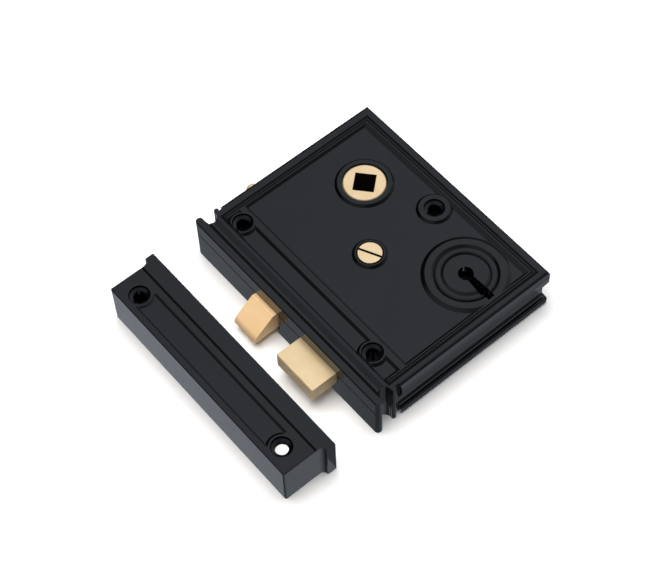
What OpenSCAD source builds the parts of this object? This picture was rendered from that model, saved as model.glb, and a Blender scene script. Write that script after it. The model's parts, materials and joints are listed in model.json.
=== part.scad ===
/* [Case] */
// Spindle axis to the forend face
backset = 58.4; // [57.4:0.1:62]
// Spindle axis to the back edge
case_back = 24.8; // [24.4:0.1:28]
// Spindle axis to the top edge
case_up = 27.2; // [26.8:0.1:31]
// Spindle axis to the bottom edge
case_down = 74.2; // [73.8:0.1:78]
// Thickness of the case, door face to outer face
case_t = 20; // [19.4:0.1:23]
// Thickness of the outer face
face_t = 3; // [2.6:0.1:3.4]
// Thickness of the side walls at the neck of the moulding
wall_t = 2.5; // [2:0.1:3]
// Thickness of the back plate
plate_t = 3; // [2.6:0.1:3.3]
// Thickness of the forend behind the bolts' mouths
forend_t = 3; // [2.6:0.1:3.6]
// Plan radius of the two back corners
corner_r = 1.8; // [0.6:0.1:3]

/* [Side moulding] */
// How far the neck lies inside the lip
neck_in = 2; // [1.6:0.1:2.4]
// Height of the convex quarter at the top of the moulding
ovolo_h = 3.7; // [3:0.1:4.2]
// Height of the upright nose under the convex quarter
nose_h = 1.6; // [1:0.1:2.2]
// Height of the slope from the nose down to the neck
undercut_h = 5.4; // [4.6:0.1:6]
// Radius of the small bead at the foot of the neck
foot_bead_r = 0.75; // [0.5:0.05:0.9]
// Height of the sunk line between the case and the back plate
parting_h = 0.75; // [0.6:0.05:1]
// How far the sunk line lies inside the lip
parting_in = 2.2; // [2:0.1:2.6]

/* [Forend] */
// Length of the forend block before the side moulding starts
forend_len = 11.7; // [11.2:0.1:12.4]
// Radius of the ear at each end of the forend
ear_r = 1.5; // [1.3:0.05:1.7]
// How far the ear's centre lies inside the lip
ear_in = 1; // [0.8:0.1:1.4]
// Radius of the hollow behind each ear
hollow_r = 2.5; // [2.2:0.1:2.6]
// Radius of the bead behind each hollow
bead_r = 0.95; // [0.8:0.05:1.1]
// How far the flat ends of the forend lie inside the lip
land_in = 1.9; // [1.6:0.1:2.2]
// How far the inside of the case widens in front of the moulded sides
widen = 1.8; // [1.4:0.1:2.2]
// How far each bead's centre lies inside the lip
bead_in = 1.3; // [1.1:0.1:1.5]
// Distance of the incised line below the outer face
incised_drop = 7; // [6:0.1:8]
// Depth of the incised line
incised_d = 0.3; // [0.2:0.05:0.5]

/* [Face relief] */
// Distance of the deep groove from the forend face
groove_x = 3.65; // [3.4:0.05:4]
// Half the width of the deep groove
groove_half = 0.8; // [0.6:0.05:0.9]
// Depth of the deep groove
groove_d = 1; // [0.8:0.05:1.2]
// Depth of the low flat behind the deep groove
step_d = 0.6; // [0.4:0.05:0.7]
// Distance from the deep groove to the slope that rises from the low flat
slope_x = 1.45; // [1.2:0.05:1.6]
// Run of that slope up to the outer face
slope_run = 2; // [1.6:0.1:2.4]
// Rounding of the forend's front edge
ease = 0.5; // [0.3:0.1:0.8]
// Distance of the sunk strip from the forend face
strip_x = 8.25; // [7.9:0.05:8.5]
// Width of the sunk strip
strip_w = 7.4; // [7:0.1:7.6]
// Width of the flat between the sunk strip and the panel
rail_w = 2.4; // [2:0.1:2.8]
// Depth of the sunk strip and of the panel
panel_d = 0.9; // [0.6:0.05:1.1]
// Run of the sloped sides of the strip and of the panel
side_run = 1; // [0.7:0.1:1.3]
// Run of the panel's sloped side along the back edge
back_run = 2; // [1.4:0.1:2.2]
// Width of the raised border, lip to panel
border_w = 6.1; // [5.8:0.1:6.4]
// How far the panel and the border lines lie towards the bottom edge
relief_shift = 0.5; // [0:0.1:0.7]
// Inset of the wide border line's middle from the lip
line_in = 4.2; // [4:0.05:4.4]
// Half the width of the wide border line
line_half = 0.5; // [0.35:0.05:0.55]
// Depth of the wide border line
line_d = 0.45; // [0.3:0.05:0.6]
// Distance of the fine border line inside the wide one
fine_in = 1.15; // [1:0.05:1.25]
// Half the width of the fine border line
fine_half = 0.3; // [0.2:0.05:0.35]
// Depth of the fine border line
fine_d = 0.3; // [0.2:0.05:0.4]
// Run of the sloped sides of the raised rounds
round_run = 1; // [0.7:0.1:1.2]

/* [Fixing holes] */
// Distance of the two front fixing holes from the forend face
hole_x = 13; // [12.9:0.1:13.6]
// Distance of the upper front hole from the top edge
hole_up = 11.75; // [11.6:0.05:12.4]
// Distance of the lower front hole from the bottom edge
hole_down = 17.1; // [16.4:0.1:17.2]
// Distance of the back hole from the back edge
back_hole_x = 13.1; // [12.6:0.1:13.6]
// Distance of the back hole below the spindle axis
back_hole_y = 25.6; // [25:0.1:26.4]
// Radius of the fixing holes
hole_r = 2.45; // [2.1:0.05:2.6]
// Radius of the countersinks
sink_r = 4; // [3.8:0.05:4.1]
// Depth of the countersinks
sink_d = 1.5; // [1.3:0.1:1.9]
// Radius of the shallow seat at the foot of the steep mouth
seat_r = 3.65; // [3.4:0.05:3.75]
// Depth of the steep mouth
seat_top = 0.8; // [0.6:0.05:1]
// Outer radius of the tubes round the fixing holes inside the case
tube_r = 4; // [3.6:0.1:4.2]
// Radius of the raised round on the face at the front holes
front_boss_r = 5.6; // [5.3:0.1:6]
// Radius of the raised round on the face at the back hole
back_boss_r = 6.85; // [6.4:0.05:7.1]

/* [Case screw] */
// Distance of the case screw in front of the spindle axis
screw_x = 19; // [18.4:0.1:19.6]
// Distance of the case screw below the spindle axis
screw_y = 25.1; // [24.9:0.1:25.6]
// Radius of the screw head
screw_head_r = 4.5; // [4.2:0.05:4.7]
// Depth of the countersunk screw head
screw_head_h = 2.4; // [2:0.1:2.6]
// Height of the straight rim of the screw head
screw_rim = 0.3; // [0.2:0.05:0.5]
// Radius of the screw shank
screw_r = 2; // [1.7:0.05:2.2]
// Length of the screw below its head
screw_len = 11; // [9:0.5:12]
// Width of the screwdriver slot
screw_slot_w = 0.9; // [0.7:0.05:1.1]
// Depth of the screwdriver slot
screw_slot_d = 0.9; // [0.6:0.05:1.2]
// Turn of the screwdriver slot from the X axis
screw_slot_turn = 64; // [0:1:180]
// Radius of the raised round at the case screw
screw_boss_r = 6.6; // [6.2:0.1:7]
// Chamfer of the face round the case screw and the follower
mouth_ease = 0.45; // [0.2:0.05:0.6]
// Radius of the threaded post for the case screw
pillar_r = 4; // [3.4:0.1:4.2]
// How much thinner the threaded post is where it stands in the back plate
spigot_in = 1.5; // [1.2:0.1:1.8]
// Height at which the holes for posts and studs end in the back plate
blind_z = 1; // [0.6:0.1:1.4]
// Free depth of the post's thread below the screw
screw_room = 0.5; // [0.3:0.1:1]

/* [Follower] */
// Side of the square spindle hole
spindle_w = 8; // [7.6:0.1:8.2]
// Turn of the spindle square from the X axis
spindle_turn = 41; // [30:1:60]
// Radius of the outer journal
journal_r = 8.13; // [8:0.01:8.3]
// Radius of the inner journal in the back plate
inner_journal_r = 7; // [6.6:0.05:7.1]
// Chamfer round the follower's outer end
follower_ease = 0.3; // [0.1:0.1:0.5]
// Radius of the hub
hub_r = 9.6; // [9.2:0.1:9.8]
// Height of the hub
hub_h = 6.4; // [5.8:0.1:7]
// How far the follower lies below the outer face
follower_in = 0.3; // [0.1:0.05:0.4]
// Distance of the nose of each wing from the axis
wing_len = 15; // [14.6:0.1:15.4]
// Radius of the nose of each wing
wing_r = 2.2; // [1.8:0.1:2.3]
// Height of the wings
wing_h = 5; // [4:0.1:5.4]
// Wall of the bearing round the outer journal
bearing_wall = 2.8; // [2.2:0.1:3.2]
// Radius of the raised ring on the face round the follower
ring_r = 11.2; // [10.8:0.05:11.6]

/* [Latch] */
// Reach of the latch bolt past the forend
latch_out = 10.4; // [9.4:0.1:10.6]
// Length of the latch bolt behind the forend face
latch_in = 14.4; // [13.6:0.1:14.8]
// Distance of the latch bolt's upper side below the spindle axis
latch_y = 7.4; // [7.2:0.1:7.8]
// Width of the latch bolt
latch_w = 12; // [11.4:0.1:12.2]
// Thickness of the latch bolt
latch_h = 9.1; // [8.4:0.1:9.4]
// Height of the latch bolt above the back plate
latch_lift = 0.5; // [0.4:0.05:0.8]
// Length of the flat before the latch bolt's bevel
latch_flat = 1.6; // [1:0.1:2.4]
// Radius of the latch bolt's nose
latch_nose_r = 3.45; // [3:0.05:3.8]
// Height of the middle of the nose above the latch bolt's underside
latch_nose_z = 0.5; // [0.2:0.1:0.8]
// Thickness of the latch tail
latch_tail_t = 3; // [2.6:0.1:3.2]
// Width of each prong of the latch tail's fork
prong_w = 9.8; // [9.2:0.1:10]
// Thickness of the upturned lugs on the latch tail
lug_t = 3; // [2.4:0.1:3.2]
// Radius of the rivets that hold the latch tail
rivet_r = 1.2; // [1:0.05:1.4]
// Outer radius of the latch spring
spring_r = 3; // [2.7:0.05:3.1]
// Wire thickness of the latch spring
spring_wire = 0.8; // [0.6:0.05:0.9]
// Number of turns of the latch spring
spring_turns = 8; // [6:1:9]
// Radius of the peg inside the latch spring
peg_r = 1; // [0.8:0.05:1.3]
// Length of the peg in front of its lug
peg_len = 9.6; // [8:0.2:10]
// Length of the peg's root inside its lug
peg_root = 3; // [2.4:0.2:3.4]
// Height of the latch spring's axis above the latch bolt's underside
spring_up = 6.1; // [5.9:0.1:6.3]
// Length of the step under the latch bolt that takes its tail
latch_step = 7.4; // [6.8:0.1:8]
// Distance of the rivets from the latch bolt's rear
rivet_in = 3.6; // [3.2:0.1:4]
// Distance between the two rivets
rivet_gap = 7; // [6:0.1:8]
// Distance of the tail's upright stop behind the latch bolt
stop_behind = 6; // [5.6:0.1:6.4]
// Distance of the stop's upper side below the spindle axis
stop_y = 2; // [1.8:0.1:2.4]
// Width of the stop
stop_w = 4; // [3.4:0.1:4.4]
// Width of the bar between the fork's prongs
fork_bar = 6; // [5:0.1:6.4]
// How far the prongs reach behind their lugs
prong_past = 1.2; // [0.8:0.1:1.6]
// How far the tail lies inside the latch bolt's lower side
tail_in = 0.4; // [0.2:0.1:0.8]
// How far the stop stands above the snib's arm
stop_over = 1; // [0.6:0.1:1.2]
// Length of the lug on the case that the latch spring bears on
spring_lug_len = 4; // [3.6:0.1:4.4]
// Width of that lug
spring_lug_w = 7; // [6.6:0.1:7.4]
// Distance of each lug's inner end inside the wing's tip
lug_inside = 4.8; // [4.4:0.1:5.2]
// Width of each lug
lug_w = 7; // [6.4:0.1:7.2]
// How much further the latch draws in than flush
latch_flush = 0.1; // [0:0.05:0.2]

/* [Dead bolt] */
// Reach of the dead bolt past the forend
bolt_out = 11.2; // [10.4:0.1:11.4]
// Length of the dead bolt's head behind the forend face
bolt_in = 10.4; // [9.8:0.1:10.8]
// Distance of the dead bolt's upper side below the spindle axis
bolt_y = 33; // [32.8:0.1:33.2]
// Width of the dead bolt
bolt_w = 19.5; // [18.8:0.1:19.6]
// Thickness of the dead bolt's head
bolt_h = 6.6; // [6:0.1:6.9]
// Height of the dead bolt's head above the back plate
bolt_lift = 4.2; // [4:0.1:4.6]
// Chamfer round the dead bolt's end
bolt_chamfer = 0.5; // [0.2:0.1:0.9]
// Thickness of the dead bolt's tail
bolt_tail_t = 2.6; // [2.2:0.1:2.7]
// Width of the dead bolt's tail
bolt_tail_w = 10; // [9.6:0.1:10.6]
// Reach of the dead bolt's tail behind the spindle axis
bolt_tail_x = 7; // [6.6:0.1:8]
// Radius of the stump on the dead bolt's tail
stump_r = 1.5; // [1.3:0.05:1.6]
// Radius of the stud that guides the dead bolt's tail
stud_r = 1.5; // [1.3:0.05:1.6]
// Width of the talon notch for the key
talon_w = 5; // [4.4:0.1:5.4]
// Depth of the talon notch for the key
talon_d = 3; // [2.4:0.1:3.2]
// Height of the tail's upper edge above the lever pivot
bolt_tail_up = 4.5; // [4.3:0.1:4.7]
// Distance of the stump behind the lever pivot
stump_behind = 10.5; // [10.2:0.1:11]
// Distance of the stump below the lever pivot
stump_below = 0.5; // [0.2:0.1:0.8]
// Distance of the guide stud behind the keyhole's eye
stud_behind = 1.35; // [1.1:0.05:1.6]
// Distance of the guide stud below the tail's upper edge
stud_below = 3.4; // [3.2:0.1:3.6]
// How much further the dead bolt draws in than flush
bolt_flush = 0.3; // [0.2:0.05:0.4]
// Length of the cranked step between the dead bolt's head and its tail, each way
bolt_step = 2; // [1.8:0.1:2.4]
// Reach of the stump and of the lever pivot above the levers
stump_over = 0.5; // [0.3:0.1:0.8]

/* [Levers] */
// Distance of the lever pivot in front of the spindle axis
pivot_x = 29.5; // [29:0.1:30]
// Distance of the lever pivot below the spindle axis
pivot_y = 38; // [37.7:0.1:38.3]
// Radius of the lever pivot
pivot_r = 2; // [1.7:0.05:2.2]
// Thickness of a lever
lever_t = 1.2; // [1:0.05:1.3]
// Radius of the round end of a lever at its pivot
lever_eye_r = 4; // [3.6:0.1:4.2]
// Distance of the lower edge of the first lever from the keyhole's eye
belly_1 = 9.7; // [9.4:0.1:10.2]
// Distance of the lower edge of the second lever from the keyhole's eye
belly_2 = 10.1; // [9.6:0.1:10.4]
// Lift of the levers over the dead bolt's travel, in degrees
lever_lift = 2.8; // [2:0.1:3]
// Distance of a lever's rear end behind the keyhole's eye
lever_rear = 8.5; // [8:0.1:9]
// Half the width of a lever's belly
belly_half = 6; // [5.6:0.1:6.6]
// Distance of a lever's upper shoulder behind the keyhole's eye
lever_shoulder = 5.5; // [5:0.1:6]
// Drop of a lever's rear end below its upper edge
lever_drop = 2.2; // [1.6:0.1:2.6]
// Rise from a lever's belly to its rear end
belly_rise = 3; // [2.4:0.1:3.4]
// Distance of a lever's neck in front of the keyhole's eye
neck_front = 11; // [10.4:0.1:11.6]
// Drop of the neck below the lever's round end
neck_drop = 0.8; // [0.4:0.1:1.2]
// Distance of a lever's shoulders behind its pivot
lever_front = 1.2; // [0.8:0.1:1.6]
// Room beside the stump in the pockets of a lever
pocket_room = 0.4; // [0.3:0.05:0.6]
// Room above the stump in the pockets of a lever
pocket_rise = 0.8; // [0.6:0.1:1]
// Room below the stump in a lever's rear pocket
pocket_fall = 1; // [0.8:0.1:1.2]
// Reach of the collar past the lever pivot
collar_w = 1.2; // [0.9:0.1:1.5]
// Thickness of that collar
collar_t = 0.8; // [0.6:0.1:1]
// Thickness of the leaf springs
leaf_t = 0.5; // [0.4:0.05:0.6]
// Gap from a leaf spring's tip to the screw post while the levers are down
leaf_gap = 0.95; // [0.9:0.05:1.1]
// Distance of a leaf spring's foot behind the lever pivot
leaf_foot = 1.5; // [1.3:0.1:1.8]
// Length of a leaf spring's flat foot
leaf_flat = 3.5; // [3:0.1:4]
// Reach of a leaf spring's tip past the middle of the screw post
leaf_past = 1; // [0.6:0.1:1.4]
// How much thinner than its lever a leaf is, on each side
leaf_in = 0.1; // [0.05:0.05:0.2]

/* [Keyhole] */
// Distance of the keyhole's eye behind the spindle axis
key_x = 1.15; // [0.7:0.05:1.6]
// Distance of the keyhole's eye below the spindle axis
key_y = 54.2; // [54:0.1:54.6]
// Radius of the keyhole's eye
key_eye_r = 2.85; // [2.6:0.05:3.1]
// Width of the slot where it leaves the eye
key_slot_top = 2.4; // [2.2:0.1:3]
// Width of the slot where it is widest
key_slot_wide = 3.8; // [3.4:0.1:4]
// Width of the slot's lower end
key_slot_foot = 2.9; // [2.6:0.1:3.2]
// Length of the slot's lower end
key_foot_len = 3; // [2.6:0.1:3.4]
// How far the slot's wide end leans to the forend
key_slot_lean = 0.3; // [0.1:0.05:0.5]
// Distance from the eye to the end of the slot
key_slot_len = 13.6; // [13:0.1:13.8]
// Radius of the round rose about the keyhole
rose_r = 16.3; // [15.6:0.1:16.6]
// Distance of the rose's bead from its rim, to the bead's inner side
bead_side_in = 7.4; // [7:0.1:7.8]
// Distance of the rose's bead from its rim, to the bead's outer side
bead_side_out = 4.8; // [4.4:0.1:5.2]
// Depth of the two valleys beside the rose's bead
valley_d = 0.65; // [0.5:0.05:0.8]
// Width of the slopes beside the two valleys
valley_side = 0.9; // [0.7:0.1:1]
// Depth of the rose's flat middle
dish_d = 0.2; // [0.1:0.05:0.4]
// Run of the rose's sloped rim
rim_run = 1.5; // [1.2:0.1:1.8]
// Radius of the ward ring inside the case
ward_r = 8.7; // [8:0.1:8.9]
// Wall of the ward ring
ward_wall = 1.2; // [1:0.1:1.6]
// Height of the ward ring
ward_h = 2.8; // [2:0.1:2.9]

/* [Snib] */
// Height of the snib's knob above the door face
snib_z = 11; // [10.4:0.1:11.4]
// Thickness of the snib's slide
snib_t = 1.6; // [1.3:0.1:1.7]
// Radius of the knob's shank
shank_r = 1.2; // [1:0.05:1.4]
// Radius of the knob's head
knob_r = 2.2; // [2:0.05:2.6]
// Reach of the knob past the top edge
knob_out = 4.3; // [3.6:0.1:5]
// Length of the knob's head
knob_len = 3.3; // [2.8:0.1:3.6]
// Rounding of the knob's end
knob_round = 0.9; // [0.6:0.1:1.2]
// Easing of the knob head's inner edge
knob_ease = 0.4; // [0.2:0.1:0.6]
// Thickness of the snib's arm
arm_t = 2.2; // [1.8:0.1:2.4]
// Width of the snib's arm
arm_w = 3; // [2.6:0.1:3.2]
// Reach of the slide in front of the arm
slide_front = 12; // [11.4:0.1:12.6]
// Reach of the slide behind the arm's front
slide_rear = 7; // [6.4:0.1:8]
// Distance of the knob in front of the arm
knob_front = 6; // [5.4:0.1:6.4]
// How far the slide reaches below the arm
slide_below = 2.6; // [2:0.1:2.8]
// Room between the slide and the outer face for its spring
bow_room = 2; // [1.8:0.05:2.2]
// Thickness of the bowed strip
bow_t = 0.35; // [0.25:0.05:0.4]
// Length of the bowed strip
bow_len = 13; // [12:0.5:14]
// Distance of the strip's front end in front of the arm
bow_front = 9; // [8.5:0.1:9.5]
// Gap between the latch's stop and the arm while the latch is drawn in
arm_gap = 0.5; // [0.4:0.05:0.7]
// Gap between the latch's stop and the arm while the snib holds the latch
hold_gap = 0.4; // [0.3:0.05:0.5]

/* [Keep] */
// Gap from the forend face to the keep, as the pair is laid out
keep_gap = 19.35; // [19:0.05:24]
// Width of the keep
keep_w = 21; // [20.6:0.1:23]
// Thickness of the keep
keep_t = 18.4; // [18:0.1:19.4]
// Length of the keep without its ears
keep_len = 98.2; // [96:0.1:102]
// Length of the keep over its ears
keep_ear_len = 102.4; // [101.4:0.1:106]
// Distance of the keep's middle below the spindle axis
keep_mid = 24.1; // [23.4:0.1:25]
// Width of the keep's ears
keep_ear_w = 3.75; // [3.2:0.05:4.2]
// Thickness of the keep's top
keep_top = 3; // [2.4:0.1:3.2]
// Thickness of the keep's walls
keep_wall = 2.4; // [2:0.1:2.8]
// Distance of the keep's holes from its outer side
keep_hole_x = 6.45; // [6.2:0.05:7.2]
// Distance between the keep's holes
keep_hole_gap = 80.4; // [78:0.1:82]
// Radius of the rounds at the keep's holes
keep_boss_r = 5.7; // [5.4:0.1:6]
// Inset of the keep's sunk panel from its outer side
keep_panel_x = 2.25; // [2:0.05:2.6]
// Width of the keep's sunk panel
keep_panel_w = 9.1; // [8.7:0.1:9.4]
// Depth of the keep's sunk panel
keep_panel_d = 0.6; // [0.4:0.05:0.8]
// Run of the sloped sides of the keep's panel
keep_run = 0.85; // [0.6:0.05:1]
// Distance of the panel's ends from the middles of the holes
keep_panel_end = 3.4; // [3.1:0.1:3.8]
// Radius of the keep's outer corners, seen from the front
keep_corner_r = 0.8; // [0.4:0.1:1.2]
// Rounding of the edges round the keep's top
keep_ease = 0.4; // [0.2:0.1:0.6]
// Distance of the keep's long groove from its lock side
keep_groove_x = 6.8; // [6.4:0.1:7.2]
// Depth and half the width of the keep's long groove
keep_groove_d = 0.45; // [0.3:0.05:0.6]

/* [Clearances] */
// Gap above and below a sliding piece
slide_gap = 0.3; // [0.25:0.05:0.4]
// Gap between stacked levers
lever_gap = 0.4; // [0.3:0.05:0.45]
// Running fit of the journals and pivots, on the radius
run_fit = 0.05; // [0.03:0.01:0.08]
// Gap round the case screw in the face, on the radius
head_gap = 0.12; // [0.08:0.02:0.2]
// Fit of pins and pegs in their holes, on the radius
pin_fit = 0.02; // [0.01:0.01:0.05]
// Gap between the coil's ends and what it bears on
coil_gap = 0.05; // [0:0.05:0.1]
// Gap from a wing's side to its lug
wing_gap = 0.6; // [0.5:0.05:0.8]
// Gap from the fork's bar to the inner journal while the latch is drawn in
fork_gap = 0.5; // [0.4:0.05:0.7]
// Gap from the fork's prongs to the inner journal
prong_gap = 0.4; // [0.3:0.05:0.5]
// Gap between the latch tail and what passes over it
tail_gap = 0.5; // [0.4:0.05:0.7]
// Gap between the snib's slide and the wall beside it
snib_gap = 0.5; // [0.4:0.05:0.7]
// Gap round a bolt in its mouth
mouth_gap = 0.4; // [0.35:0.05:0.5]
// Gap below the latch bolt in its mouth, towards the bottom edge
latch_mouth_gap = 1.2; // [0.5:0.05:1.4]
// Gap between the back plate and the case walls round its front
plate_gap = 0.1; // [0.05:0.05:0.2]

/* [Hidden] */
$fn = 48;

enamel = "#26272a";
brass = "#d9a950";
steel = "#8d9196";
spring_steel = "#6d7278";
over = 1;
lap = 0.1;
hair = 0.01;
line_floor = 0.03;

// Levels through the case, measured from the door face
face_under = case_t - face_t;
tail_z = plate_t + slide_gap;
latch_z = plate_t + latch_lift;
bolt_z = plate_t + bolt_lift;
latch_tail_top = tail_z + latch_tail_t;
bolt_tail_top = tail_z + bolt_tail_t;
lever_1_z = bolt_tail_top + lever_gap;
lever_2_z = lever_1_z + lever_t + lever_gap;
levers_top = lever_2_z + lever_t;
hub_z = latch_tail_top + slide_gap;
hub_top = hub_z + hub_h;
wing_z = hub_z + (hub_h - wing_h) / 2;
arm_z = latch_tail_top + tail_gap;

// Plan of the case
forend_x = -backset;
mould_x = forend_x + forend_len;
wide_x = mould_x - widen;
hollow_in = 2;
cavity_up = case_up - neck_in - wall_t;
cavity_down = -(case_down - neck_in - wall_t);
cavity_back = case_back - neck_in - wall_t;
narrow_up = case_up - hollow_in - hollow_r - wall_t;
narrow_down = -(case_down - hollow_in - hollow_r - wall_t);
panel_x = forend_x + strip_x + strip_w + rail_w;
panel_back = case_back - border_w;
panel_up = case_up - border_w - relief_shift;
panel_down = border_w - relief_shift - case_down;

// Places of the holes and studs
front_holes = [[forend_x + hole_x, case_up - hole_up], [forend_x + hole_x, hole_down - case_down]];
back_hole = [case_back - back_hole_x, -back_hole_y];
screw_at = [-screw_x, -screw_y];
key_at = [key_x, -key_y];
pivot_at = [-pivot_x, -pivot_y];
stump_at = [stump_behind - pivot_x, -pivot_y - stump_below];
bolt_travel = bolt_out + bolt_flush;
bolt_tail_y = bolt_tail_up - pivot_y;
talon_x = key_x - bolt_travel / 2;
stud_at = [key_x + stud_behind, bolt_tail_y - stud_below];

// Latch travel, and where the snib's arm stands to let it pass or to stop it
latch_travel = latch_out + latch_flush;
latch_mid_y = -latch_y - latch_w / 2;
latch_rear = forend_x + latch_in;
latch_step_x = latch_rear - latch_step;
spring_y = latch_mid_y;
spring_z = latch_z + spring_up;
stop_x = latch_rear + stop_behind;
arm_x = stop_x + lug_t + latch_travel + arm_gap;
snib_travel = latch_travel + arm_gap - hold_gap;
knob_x = arm_x - knob_front;
slide_y = cavity_up - snib_gap;
slide_top = face_under - bow_room;
lug_x = wing_r + wing_gap;
lug_y = wing_len - lug_inside;
fork_x = -(inner_journal_r + latch_travel + fork_gap);
fork_y = inner_journal_r + prong_gap;
spring_lug_x = fork_x - spring_lug_len;

// Keep
keep_x = forend_x - keep_gap;
keep_out_x = keep_x - keep_w;
keep_ear_in = (keep_ear_len - keep_len) / 2;

// Points along an arc, from angle a0 to a1 in n steps
function arc(centre, rx, ry, a0, a1, n) =
    [for (i = [0:n]) let (a = a0 + (a1 - a0) * i / n)
        [centre[0] + rx * cos(a), centre[1] + ry * sin(a)]];

// Side of the case as [inset from the lip, height], from the parting line to the face
neck_top = case_t - ovolo_h - nose_h - undercut_h;
bead_z = plate_t + parting_h + foot_bead_r;
moulding = concat(
    [[parting_in, plate_t], [parting_in, plate_t + parting_h]],
    [for (p = arc([neck_in, bead_z], foot_bead_r, foot_bead_r, -90, 90, 8))
        [2 * neck_in - p[0], p[1]]],
    [[neck_in, neck_top], [0, case_t - ovolo_h - nose_h]],
    [for (p = arc([neck_in, case_t - ovolo_h], neck_in, ovolo_h, 0, 90, 10))
        [2 * neck_in - p[0], p[1]]]);

// Edge of the back plate as [inset, height]
plate_edge = arc([plate_t / 2, plate_t / 2], -plate_t / 2, plate_t / 2, -90, 90, 8);

function backwards(list) = [for (i = [len(list) - 1:-1:0]) list[i]];

// A profile in Y and Z, drawn out along X
module along_x(x0, x1) {
    translate([x0, 0, 0]) rotate([90, 0, 90]) linear_extrude(x1 - x0) children();
}

// A profile in X and Z, drawn out along Y
module along_y(y0, y1) {
    translate([0, y1, 0]) rotate([90, 0, 0]) linear_extrude(y1 - y0) children();
}

// A block between two corners
module block(low, high) {
    translate(low) cube(high - low);
}

// A straight pin along Z at a place in plan
module pin(at, r, z0, z1) {
    translate([at[0], at[1], z0]) cylinder(h = z1 - z0, r = r);
}

// A slot with round ends along X, in plan
module slot_plan(x0, x1, y, r) {
    translate([x0, y - r]) square([x1 - x0, 2 * r]);
    for (x = [x0, x1]) translate([x, y]) circle(r = r);
}

// Three moulded sides and a square front, from one edge profile
module moulded(edge, x0) {
    intersection() {
        along_x(x0, case_back + over)
            polygon(concat([for (p = edge) [case_up - p[0], p[1]]],
                           backwards([for (p = edge) [p[0] - case_down, p[1]]])));
        along_y(-case_down - over, case_up + over)
            polygon(concat([for (p = edge) [case_back - p[0], p[1]]],
                           [[x0, edge[len(edge) - 1][1]], [x0, edge[0][1]]]));
        linear_extrude(case_t) {
            translate([x0, -case_down])
                square([case_back - corner_r - x0, case_up + case_down]);
            translate([case_back - 2 * corner_r, corner_r - case_down])
                square([2 * corner_r, case_up + case_down - 2 * corner_r]);
            for (y = [corner_r - case_down, case_up - corner_r])
                translate([case_back - corner_r, y]) circle(r = corner_r);
        }
    }
}

// Both ends of the forend, with the lip's corner as the origin of each
module at_forend_ends() {
    translate([forend_x, case_up]) children();
    translate([forend_x, -case_down]) mirror([0, 1]) children();
}

module forend_plan() {
    hollow_x = 2 * ear_r + hollow_r;
    difference() {
        union() {
            translate([forend_x, land_in - case_down])
                square([forend_len + lap, case_up + case_down - 2 * land_in]);
            at_forend_ends() {
                translate([ear_r, -ear_in]) circle(r = ear_r);
                translate([0, -land_in - over]) square([2 * ear_r, land_in + over - ear_in]);
                translate([hollow_x + hollow_r + bead_r + lap / 2, -bead_in]) circle(r = bead_r);
            }
        }
        at_forend_ends() translate([hollow_x, -hollow_in]) circle(r = hollow_r);
    }
}

// Plan of the space inside the case, drawn in by a gap
module cavity_plan(gap) {
    front = forend_x + forend_t;
    translate([front + gap, narrow_down + gap])
        square([wide_x - front + lap, narrow_up - narrow_down - 2 * gap]);
    translate([wide_x + gap, cavity_down + gap])
        square([cavity_back - wide_x - 2 * gap, cavity_up - cavity_down - 2 * gap]);
}

// Keyhole outline: a round eye and a slot that widens, then steps in
module keyhole_plan() {
    slot_end = -key_slot_len;
    wide_end = slot_end + key_foot_len;
    translate(key_at) {
        circle(r = key_eye_r);
        polygon([[key_slot_top / 2, 0], [key_slot_wide / 2 - key_slot_lean, wide_end],
                 [-key_slot_wide / 2 - key_slot_lean, wide_end], [-key_slot_top / 2, 0]]);
        translate([-key_slot_foot / 2, slot_end]) square([key_slot_foot, key_foot_len + over / 2]);
    }
}

// Countersunk hole through the face at a place in plan, its mouth at height top
module sunk_hole(at, top, r, r_sink, d_sink) {
    pin(at, r, -over, top + over);
    translate([at[0], at[1], top - d_sink]) cylinder(h = d_sink, r1 = r, r2 = r_sink);
    pin(at, r_sink, top - hair, top + over);
}

// Fixing hole with a steep mouth above a shallow seat, its mouth at height top
module seat_hole(at, top) {
    sunk_hole(at, top - seat_top, hole_r, seat_r, sink_d - seat_top);
    translate([at[0], at[1], top - seat_top - hair])
        cylinder(h = seat_top + 2 * hair, r1 = seat_r, r2 = sink_r);
    pin(at, sink_r, top, top + over);
}

// What a round leaves standing in sunk work: a cone as wide as r at the floor
module standing_round(at, r, run, top, depth) {
    rise = depth + over;
    translate([at[0], at[1], top - depth]) cylinder(h = rise, r1 = r, r2 = r - run * rise / depth);
}

// A sunk block with sloped sides. Its edges at the height top are xs and ys, and its four
// sides, in the order -X, +X, -Y, +Y, lean inwards by their runs over the depth
module sunk_block(xs, ys, runs, depth, top) {
    out = lap / depth;
    intersection() {
        along_y(ys[0] - over, ys[1] + over)
            polygon([[xs[0] - runs[0] * out, top + lap], [xs[1] + runs[1] * out, top + lap],
                     [xs[1] - runs[1], top - depth], [xs[0] + runs[0], top - depth]]);
        along_x(xs[0] - over, xs[1] + over)
            polygon([[ys[0] - runs[2] * out, top + lap], [ys[1] + runs[3] * out, top + lap],
                     [ys[1] - runs[3], top - depth], [ys[0] + runs[2], top - depth]]);
    }
}

module sunk_panel() {
    sunk_block([panel_x, panel_back], [panel_down, panel_up], [side_run, back_run, side_run, side_run],
               panel_d, case_t);
}

module sunk_strip() {
    x0 = forend_x + strip_x;
    sunk_block([x0, x0 + strip_w], [panel_down, panel_up], [for (i = [0:3]) side_run], panel_d, case_t);
}

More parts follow.
